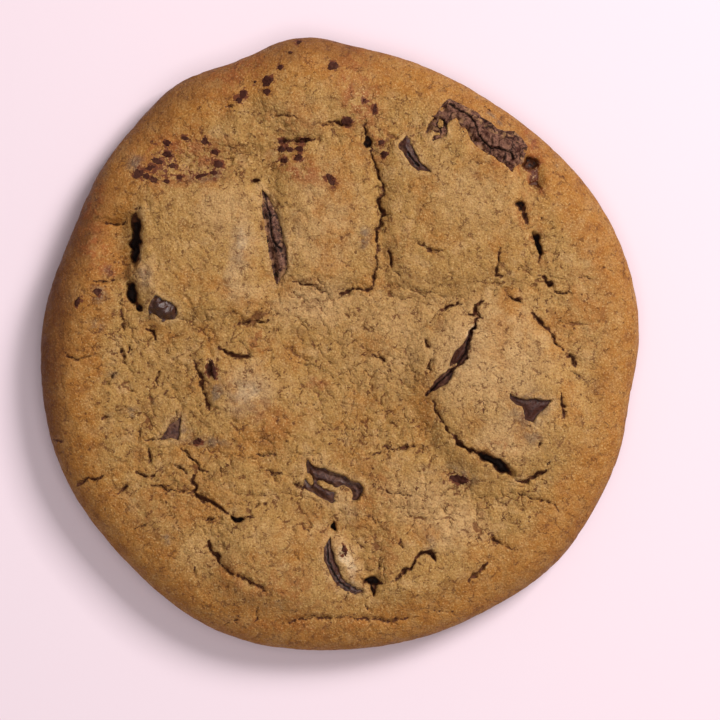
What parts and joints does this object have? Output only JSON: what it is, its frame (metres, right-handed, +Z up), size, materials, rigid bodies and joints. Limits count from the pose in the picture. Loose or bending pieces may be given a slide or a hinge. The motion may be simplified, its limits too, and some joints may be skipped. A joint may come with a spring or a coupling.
{
  "type": "chocolate chip cookie",
  "caption": "Round soft-baked cookie with a lumpy, cracked golden-brown top and chopped dark chocolate showing in it, flat underneath.",
  "frame": {"origin": "middle of the flat underside, under the middle of the cookie's outline", "axes": "+Z up out of the top, +X to the right and +Y to the far side as the cookie is seen from above"},
  "size_m": [0.087, 0.0892, 0.0114],
  "materials": {
    "dough": "baked dough, matt and grainy, browner at the rim",
    "chocolate": "dark chocolate, softly and unevenly glossy, with some grey bloom"
  },
  "bodies": {
    "root": {"dough": "dough", "chocolate_spear": "chocolate", "chocolate_corner": "chocolate", "chocolate_hook": "chocolate", "chocolate_nugget": "chocolate", "chocolate_sliver": "chocolate", "chocolate_wedge": "chocolate", "chocolate_block": "chocolate", "chocolate_crescent": "chocolate", "chocolate_chip": "chocolate"}
  },
  "joints": []
}
